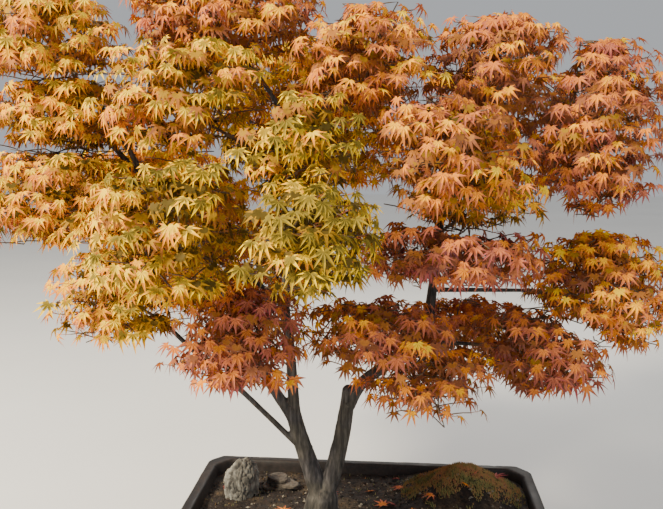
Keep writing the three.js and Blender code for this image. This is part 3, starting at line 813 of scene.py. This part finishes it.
def make_soil(material, sides=400, inwards=84):
    """The soil as rings from the pot's floor and wall in to the middle of the trunk's foot."""
    inset = POT_WALL + 0.5 + POT_TAPER * (POT_HEIGHT - SOIL_EDGE) / (POT_HEIGHT - POT_FLOOR)
    corners = pot_outline(inset, SOIL_EDGE)
    rim = evenly(np.vstack([corners, corners[:1]]), sides + 1)[:-1]
    foot = rim * [(POT_LENGTH / 2 - POT_WALL - POT_TAPER - 1) / (POT_LENGTH / 2 - inset), 0.935, 0]
    rings = [foot + UP * (POT_FLOOR + 0.5), rim - UP * 6]
    middle = np.array([*TRUNK_PLACE, SOIL_EDGE])
    for share in np.linspace(0, 0.93, inwards):
        ring = rim + (middle - rim) * share
        ring[:, 2] = [soil_surface(x, y) for x, y in ring[:, :2]]
        rings.append(ring)
    return mesh_object("soil_bed", *loft(rings), [material])


def on_soil(numbers):
    """A place in the box round the pot."""
    return (next(numbers) - 0.5) * POT_LENGTH, (next(numbers) - 0.5) * POT_WIDTH


def inside_pot(x, y, size):
    """Whether something of this size has room at a place on the soil."""
    margin = POT_WALL + SOIL_MARGIN + size
    half_x, half_y = POT_LENGTH / 2 - margin, POT_WIDTH / 2 - margin
    return abs(x) < half_x and abs(y) < half_y and abs(x) + abs(y) < half_x + half_y - POT_CORNER


def crumb_shape(numbers):
    """A crumb of eight faces, about 1 across."""
    corners = np.array([(1, 0, 0), (0, 1, 0), (-1, 0, 0), (0, -1, 0), (0, 0, 1), (0, 0, -1)], float)
    corners *= [[0.35 + 0.35 * next(numbers)] for _ in corners]
    faces = [(0, 1, 4), (1, 2, 4), (2, 3, 4), (3, 0, 4), (1, 0, 5), (2, 1, 5), (3, 2, 5), (0, 3, 5)]
    return corners, np.array(faces)


def make_crumbs(materials):
    """Crumbs of soil, grit and small pebbles over the soil."""
    numbers = repeatable(31)
    joined = Joined()
    while joined.count < 6 * CRUMBS:
        x, y = on_soil(numbers)
        size = 2.6 + 8 * next(numbers) ** 3
        kind = int(next(numbers) * len(materials) * 0.999)
        turn = 2 * math.pi * next(numbers)
        corners, faces = crumb_shape(numbers)
        if inside_pot(x, y, size):
            cos, sin = math.cos(turn), math.sin(turn)
            spin = np.array([(cos, sin, 0), (-sin, cos, 0), (0, 0, 0.8)])
            place = np.array([x, y, soil_surface(x, y) + 0.12 * size])
            joined.add(corners @ spin * size + place, faces, kind)
    return joined.build("crumbs", materials, smooth=False)


def moss_place(numbers):
    """A place for a tuft, and the least that the noise of the patches may be there. On the hump moss is
    thick at the top and back, and thins out down the front."""
    on_hump = next(numbers) < MOSS_ON_HUMP
    angle, far = 2 * math.pi * next(numbers), next(numbers) ** 0.6
    if not on_hump:
        return *on_soil(numbers), 0.3
    x = HUMP_PLACE[0] + MOSS_REACH[0] * far * math.cos(angle)
    y = HUMP_PLACE[1] + MOSS_REACH[1] * far * math.sin(angle)
    return x, y, 0.9 * far ** 2 - 0.75 - 0.5 * far * math.sin(angle)


def make_moss(materials):
    """Short tufts of moss, each a blade of three sides."""
    numbers = repeatable(53)
    joined = Joined()
    side = np.array([(1, 0, 0), (-0.5, 0.8, 0), (-0.5, -0.8, 0)])
    faces = np.array([(0, 1, 3), (1, 2, 3), (2, 0, 3)])
    while joined.count < 4 * MOSS_TUFTS:
        x, y, least = moss_place(numbers)
        patch = noise.fractal(Vector((x / MOSS_PATCH, y / MOSS_PATCH, 5)), 0.8, 2.3, 3)
        lean = np.array([next(numbers) - 0.5, next(numbers) - 0.5, 0]) * 5
        high = 3 + 6 * next(numbers)
        kind = int(min(3.99, max(0.0, 1.7 + 2.4 * patch + 2.6 * (next(numbers) - 0.5))))
        if patch >= least + 0.4 * (next(numbers) - 0.5) and inside_pot(x, y, 3):
            foot = np.array([x, y, soil_surface(x, y) - 1.0])
            joined.add(np.vstack([foot + side * 1.3, foot + lean + UP * high]), faces, kind)
    return joined.build("moss", materials, smooth=False)


# Stones


def stone_points(sphere):
    """The tall stone's points from those of a ball of radius 1."""
    place, half, turn = STONE
    lump = sum((high * np.sin(waves * sphere[:, axis] + phase)
                for axis, (high, waves, phase) in enumerate(STONE_LUMPS)), 1)
    rough = np.array([noise.fractal(Vector((x * 2.6, y * 2.6, z * 1.1)), 0.7, 2.1, 5) for x, y, z in sphere])
    pits = np.array([abs(noise.noise(Vector((x * 5, y * 5, z * 2.4)))) for x, y, z in sphere])
    points = sphere * (lump * (1 + 0.07 * rough - 0.09 * np.exp(-pits * 9)))[:, None] * half
    spun = np.array([about(UP, point, turn) for point in points])
    return spun + [place[0], place[1], soil_height(*place) + STONE_RISE * half[2]]


def make_stone(material):
    bpy.ops.mesh.primitive_ico_sphere_add(subdivisions=6, radius=MM)
    points, faces, _ = evaluated(bpy.context.object)
    return mesh_object("stone_round", stone_points(points), faces, [material])


def slab_outline(layer, size, z, sides=96):
    """A slab's rim at a height, with chips broken from it."""
    place, half, turn = SLABS
    shift_x, shift_y, share = SLAB_LAYERS[layer]
    angles = circle(sides)
    radius = size * share * (1 + 0.12 * np.sin(2 * angles + 2.1 * layer)
                             + 0.09 * np.sin(3 * angles + 1.3 * layer + 1))
    chips = np.array([noise.fractal(Vector((math.cos(angle) * 3, math.sin(angle) * 3, layer * 5 + z / 9)),
                                    0.7, 2.2, 5) for angle in angles])
    radius *= 1 + 0.05 * chips
    flat = np.stack([radius * half[0] * np.cos(angles), radius * half[1] * np.sin(angles),
                     np.full(sides, z)], 1)
    spun = np.array([about(UP, point, turn) for point in flat])
    return spun + [place[0] + shift_x, place[1] + shift_y, 0]


def make_slabs(material):
    """Flat stones laid on each other."""
    joined = Joined()
    for layer in range(len(SLAB_LAYERS)):
        low = soil_height(*SLABS[0]) - SLAB_SUNK + layer * SLAB_THICKNESS
        rings = [slab_outline(layer, size, low + up * SLAB_THICKNESS) for size, up in SLAB_SIDE]
        points, faces = loft(rings)
        points[:, 2] += [0.7 * noise.noise(Vector(point / 9)) for point in points]
        joined.add(points, faces)
    return joined.build("stone_slabs", [material])


# The shape of a leaf


def lobe_point(lobe, along, aside, rise=0.0):
    """A point of a lobe, from how far along it and how far to its side it lies."""
    angle, length, curve, swing = lobe
    turn = angle + swing * along
    out = length * along * (1 - LEAF_CLOSING * curve * along)
    x = out * math.sin(turn) + aside * math.cos(turn)
    y = out * math.cos(turn) - aside * math.sin(turn)
    return x, y, rise - curve * (length * along) ** 2


def lobe_shape(index, first, lobe, simple):
    """A lobe's points and faces, numbered on from "first", and each face's step of colour."""
    width = LOBE_HALF_WIDTH * (0.45 + 0.55 * lobe[1])
    edges = [lobe_point(lobe, LOBE_WIDEST, side * width, LEAF_FOLD * width) for side in (-1, 1)]
    end = lobe_point(lobe, 1.0, 0)
    notch, after = 1 + index, 2 + index
    if simple:
        left, right, tip = range(first, first + 3)
        return ([*edges, end],
                [(0, after, notch), (notch, after, right), (notch, right, left), (left, right, tip)],
                [-1, 0, 0, 1])
    rib, left, mid, right, tip = range(first, first + 5)
    return ([lobe_point(lobe, 0.3, 0, -0.02), edges[0], lobe_point(lobe, LOBE_WIDEST, 0), edges[1], end],
            [(0, rib, notch), (0, after, rib), (notch, rib, mid), (notch, mid, left),
             (rib, after, right), (rib, right, mid), (left, mid, tip), (mid, right, tip)],
            [-1, -1, -1, 0, -1, 0, 1, 1])


def leaf_shape(random, plain):
    """One leaf, 1 long, in its own frame: x aside, y ahead along the middle lobe, z out of its face. Gives
    its points, its faces, and -1, 0 or 1 for each face, from the middle of the leaf to its tips."""
    droop = LEAF_CURVE * (0.35 + 1.6 * next(random))
    angles = [math.radians(angle + 9 * (next(random) - 0.5)) for angle, _ in LOBES]
    lengths = [length * (1 + 0.18 * (next(random) - 0.5)) for _, length in LOBES]
    between = [(a + b) / 2 for a, b in zip(angles, angles[1:])]
    notches = [angles[0] - LEAF_HEEL, *between, angles[-1] + LEAF_HEEL]
    points = [(0.0, 0.0, 0.0)]
    for index, angle in enumerate(notches):
        out = LEAF_NOTCH * (0.5 if index in (0, len(LOBES)) else 1)
        points.append((out * math.sin(angle), out * math.cos(angle), 0.02))
    faces = []
    tips = []
    for index, (angle, length) in enumerate(zip(angles, lengths)):
        curve = droop * (0.75 + 0.5 * next(random))
        lobe = (angle, length, curve, LOBE_SWING * (next(random) - 0.5))
        simple = plain or index in (0, len(LOBES) - 1)
        more_points, more_faces, more_tips = lobe_shape(index, len(points), lobe, simple)
        points += more_points
        faces += more_faces
        tips += more_tips
    return np.array(points), np.array(faces), np.array(tips)


# Foliage

MASS_MIDDLES = np.array([mass[2] for mass in MASSES.values()], float)
MASS_REACHES = np.array([mass[3] for mass in MASSES.values()], float)


def in_space(index, point, most=1.0):
    """Whether a point lies within a mass's reach, and nearer to its middle than to any other's."""
    depths = depth(point, MASS_MIDDLES, MASS_REACHES)
    own = depths[index]
    depths[index] = np.inf
    return own <= most and depths.min() > own


def spray_ways(reach, area, random):
    """Ways out from the middle of a mass, dealt evenly by the golden angle from the top down."""
    a, b, c = reach
    surface = 4 * math.pi * (((a * b) ** 1.6 + (a * c) ** 1.6 + (b * c) ** 1.6) / 3) ** (1 / 1.6)
    count = round(surface * (1 - LEAF_LOWEST) / 2 / area)
    start = next(random) * 2 * math.pi
    heights = 1 + (LEAF_LOWEST - 1) * (np.arange(count) + 0.5) / count
    level = np.sqrt(1 - heights ** 2)
    angles = start + np.arange(count) * GOLDEN_ANGLE
    ways = np.stack([level * np.cos(angles), level * np.sin(angles), heights], 1)
    return ways / depth(ways, 0, 1)[:, None]


def to_tier(tip, offset):
    """A spray's tip, moved up or down towards the nearest layer. The layers rise and fall in slow waves."""
    wave = sum(high * math.sin(a * tip[0] + b * tip[1] + offset) for a, b, high in TIER_WAVES)
    level = round((tip[2] - offset - wave) / TIER) * TIER + offset + wave
    return np.array([tip[0], tip[1], tip[2] + TIER_PULL * (level - tip[2])])


def place_leaf(index, middle, stalk, outwards, random):
    """How a leaf hangs from its stalk: its direction, face and size, or nothing if it has no room."""
    heading = horizontal(0.7 * horizontal(stalk) + 0.75 * outwards)
    heading = about(UP, heading, LEAF_TURN * (next(random) - 0.5))
    hang = math.radians(24 + 52 * next(random))
    ahead = heading * math.cos(hang) - UP * math.sin(hang)
    face = heading * math.sin(hang) + UP * math.cos(hang)
    face = about(ahead, face, LEAF_ROLL * (next(random) - 0.5))
    size = LEAF_SIZE * (0.82 + 0.36 * next(random))
    if not in_space(index, middle) or not in_space(index, middle + ahead * size, 1.03):
        return None
    return ahead, face, size


def grow_stem(limb, middle, reach, twigs):
    """Grows a mass's stem on from its limb's tip. Gives the places where twigs may fork from it, and how
    far along it they are."""
    line, radii = limb
    start, heading = line[-1], unit(line[-1] - line[-2])
    end = middle - UP * STEM_SINK * reach[2]
    stem = bezier(start, start + heading * STEM_BEND * np.linalg.norm(end - start), end)
    thinning = np.linspace(radii[-1], STEM_END, len(stem))
    twigs.add(*tube(evenly(stem, 10), spread_over(thinning, 10), 7))
    long = length_of(stem)
    return [point_at(stem, share) for share in STEM_FORKS], [share * long for share in STEM_FORKS]


def grow_twig(base, tip, long, forks, ways, twigs):
    """Grows a twig and its spray from the fork with the shortest way, and adds its own forks. Gives the
    spray's line."""
    cost = np.linalg.norm(np.array(forks) - base, axis=1) + PATH_WEIGHT * np.array(ways)
    fork = int(cost.argmin())
    rise = TWIG_RISE * np.linalg.norm(base - forks[fork])
    lead = bezier(forks[fork], (forks[fork] + base) / 2 + UP * rise, base, 5)
    spray = bezier(base, (base + tip) / 2 + UP * SPRAY_RISE * long, tip, 4)
    whole = np.vstack([lead, spray[1:]])
    back = ways_along(whole[::-1])[::-1]
    twigs.add(*tube(whole, TWIG_RADIUS + TWIG_TAPER * back, 4))
    forks += [lead[2], base]
    ways += [ways[fork] + length_of(lead) / 2, ways[fork] + length_of(lead)]
    return spray


def grow_spray(index, spray, axis, outwards, tint, inner, random, stalks):
    """Pairs of leaves along the end of a twig. Those of an inner shell take the plainer shapes, which give
    them the darker colours of painted shade.
    """
    leaves = []
    aside = unit(np.cross(UP, axis))
    long = length_of(spray)
    for pair in range(1 + int(long / PAIR_SPACING)):
        node = point_at(spray, max(0.0, 1 - pair * PAIR_SPACING / long))
        roll = next(random) - 0.5
        spread = math.radians(TIP_SPREAD if pair == 0 else PAIR_SPREAD)
        for side in (-1, 1):
            out = about(axis, aside * side, roll)
            heading = unit(axis * math.cos(spread) + out * math.sin(spread) + UP * 0.12)
            stalk = heading * PETIOLE * (0.75 + 0.5 * next(random))
            middle = node + stalk
            placed = place_leaf(index, middle, stalk, outwards, random)
            # inner-shell leaves: plainer shapes, and with them the darker colours of painted shade
            shape = int(next(random) * LEAF_SHAPES) + (LEAF_SHAPES if inner else 0)
            step = tint + LEAF_TINTS * (next(random) - 0.5)
            if placed:
                leaves.append((middle, *placed, shape, step))
                stalks.add(*tube(np.array([node, middle]), PETIOLE_RADII, 3))
    return leaves


def grow_mass(name, lines, twigs, stalks):
    """Grows a mass's stem, then twigs that fork from it and from each other to sprays over its shells.
    Gives the leaves as rows of middle, direction, face, size, shape and step of warmth."""
    limb, share, middle, reach, warmth = MASSES[name]
    index = list(MASSES).index(name)
    middle, reach = np.array(middle, float), np.array(reach, float)
    random = repeatable(SEED + SEED_STEP * index)
    forks, ways = grow_stem(lines[limb if share == 1 else f"bough_{name}"], middle, reach, twigs)
    offset = next(random) * TIER
    leaves = []
    for shell, area in SHELLS:
        for way in spray_ways(reach * shell, area, random):
            jitter = [next(random) for _ in range(5)]
            tip = to_tier(middle + way * shell * (0.81 + 0.22 * jitter[4]) * reach, offset)
            if not in_space(index, tip):
                continue
            outwards = horizontal(way)
            turned = about(UP, outwards, SPRAY_TURN * (jitter[0] - 0.5))
            axis = unit(turned + UP * (0.5 * jitter[1] - 0.2))
            long = SPRAY_LENGTH * (0.6 + 0.7 * jitter[2])
            inset = 1 if shell == 1 else 0.4
            tip = tip - outwards * 0.9 * LEAF_SIZE * inset - axis * PETIOLE * 0.4
            spray = grow_twig(tip - axis * long, tip, long, forks, ways, twigs)
            tint = warmth + SPRAY_TINTS * (jitter[3] + next(random) - 1)
            leaves += grow_spray(index, spray, axis, outwards, tint, shell < 1, random, stalks)
    return leaves


def drop_leaves():
    """Leaves that have fallen on the soil, as rows like those of a mass."""
    numbers = repeatable(17)
    leaves = []
    while len(leaves) < FALLEN_LEAVES:
        x, y = on_soil(numbers)
        turn, tip, roll = (next(numbers) for _ in range(3))
        from_trunk = math.hypot(x - TRUNK_PLACE[0], y - TRUNK_PLACE[1])
        if inside_pot(x, y, LEAF_SIZE) and from_trunk >= CLEAR_OF_TRUNK:
            ahead = about(UP, np.array([1.0, 0.0, 0.0]), 2 * math.pi * turn)
            aside = np.cross(ahead, UP)
            face = unit(about(aside, UP, 0.7 * (tip - 0.5)) + aside * 0.5 * (roll - 0.5))
            ahead = unit(ahead - face * (ahead @ face))
            middle = np.array([x, y, soil_surface(x, y) + 5.5])
            leaves.append((middle, ahead, face, LEAF_SIZE * (0.8 + 0.3 * tip), int(roll * LEAF_SHAPES),
                           3.5 + 6 * next(numbers)))
    return leaves


def make_leaves(name, leaves, shapes, materials):
    """Rows of leaves as one joined mesh. Each leaf is a step cooler in the middle and a step warmer at its
    tips, and those of the plainer shapes, from the inner shells, have the darker inner colours: painted
    shade."""
    joined = Joined()
    last = len(LEAF_COLOURS) - 1
    for shape, (points, faces, tips) in enumerate(shapes):
        rows = [row for row in leaves if row[4] == shape]
        if not rows:
            continue
        middle, ahead, face, size, _, step = (np.array(column) for column in zip(*rows))
        aside = np.cross(ahead, face)
        placed = (points[:, 0, None] * aside[:, None] + points[:, 1, None] * ahead[:, None]
                  + points[:, 2, None] * face[:, None])
        placed = middle[:, None] + size[:, None, None] * placed
        sets = (np.arange(len(rows)) * len(points))[:, None, None] + faces
        step = np.clip(np.round(step).astype(int), 0, last)
        tints = np.clip(step[:, None] + tips, 0, last)
        # the plainer shapes mark the inner shells, whose leaves take the darker copies: painted shade
        if shape >= LEAF_SHAPES:
            tints = len(LEAF_COLOURS) + tints // 2
        joined.add(placed.reshape(-1, 3), sets.reshape(-1, 3), tints.ravel())
    return joined.build(name, materials, smooth=False)


# Stage


def make_floor():
    corners = np.array([(-1, -1, 0), (1, -1, 0), (1, 1, 0), (-1, 1, 0)]) * FLOOR_REACH
    mesh_object("floor", corners, np.array([(0, 1, 2, 3)]), [floor_material()])


def make_lights():
    for name, (kind, place, size, power, colour) in LIGHTS.items():
        light = bpy.data.lights.new(name, kind)
        if kind == "AREA":
            light.size = size
        else:
            light.shadow_soft_size = size / 2
        light.energy = power
        light.color = colour
        piece = linked(name, light)
        piece.location = place
        piece.rotation_euler = (Vector(LIGHT_TARGET) - Vector(place)).to_track_quat("-Z", "Y").to_euler()
    world = bpy.data.worlds.new("studio")
    world.use_nodes = True
    background = world.node_tree.nodes["Background"]
    background.inputs["Color"].default_value = SKY_COLOUR
    background.inputs["Strength"].default_value = SKY_STRENGTH
    bpy.context.scene.world = world


def make_camera():
    camera = bpy.data.cameras.new("camera")
    camera.lens = CAMERA_LENS
    camera.sensor_width = CAMERA_SENSOR
    camera.clip_start = 0.01
    piece = linked("camera", camera)
    piece.location = Vector(CAMERA_PLACE) * MM
    piece.rotation_euler = (math.radians(90 - CAMERA_PITCH), 0, math.radians(CAMERA_TURN))
    bpy.context.scene.camera = piece


# The whole plant


def dress(piece, slot, *nodes):
    """Makes a piece ride on the plant's one body and stand for nodes, which are hidden. The slot is not
    used.
    """
    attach(piece, "root")
    if nodes:
        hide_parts(*nodes)


make_camera()
make_lights()
make_floor()

limbs = limb_lines()
bark = bark_material()
dress(make_wood(limbs, bark), "bark", "trunk", *LIMBS)
dress(make_boughs(limbs, bark), "bark", *(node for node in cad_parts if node.startswith("bough_")))

shape_numbers = repeatable(5)
shapes = [leaf_shape(shape_numbers, plain) for plain in (False, True) for _ in range(LEAF_SHAPES)]
# the last six tints are the darker inner copies: painted shade inside the masses
tints = [leaf_material(step, colour) for step, colour in enumerate(LEAF_COLOURS + SHADED_INNER_COLOURS)]
twigs, stalks = Joined(), Joined()
for piece, (slot, masses) in LEAF_PIECES.items():
    leaves = [leaf for name in masses for leaf in grow_mass(name, limbs, twigs, stalks)]
    dress(make_leaves(piece, leaves, shapes, tints), slot, *(f"foliage_{name}" for name in masses))
dress(twigs.build("twigs", [twig_material()]), "bark")
dress(stalks.build("petioles", [petiole_material()]), "leaf_red")

dress(make_pot(pot_material()), "pot", "pot")
dress(make_soil(soil_material()), "soil", "soil")
dress(make_crumbs(plain_materials("crumb", CRUMB_COLOURS)), "soil")
dress(make_moss(plain_materials("moss", MOSS_COLOURS)), "soil")
dress(make_leaves("leaves_fallen", drop_leaves(), shapes, tints), "leaf_amber")
dress(make_stone(stone_material("stone_round", "35322e", "69655d", "a19d92")), "stone", "stone_tall")
dress(make_slabs(stone_material("stone_slabs", "241e1b", "4b423b", "6d6459")), "stone", "stone_flat")
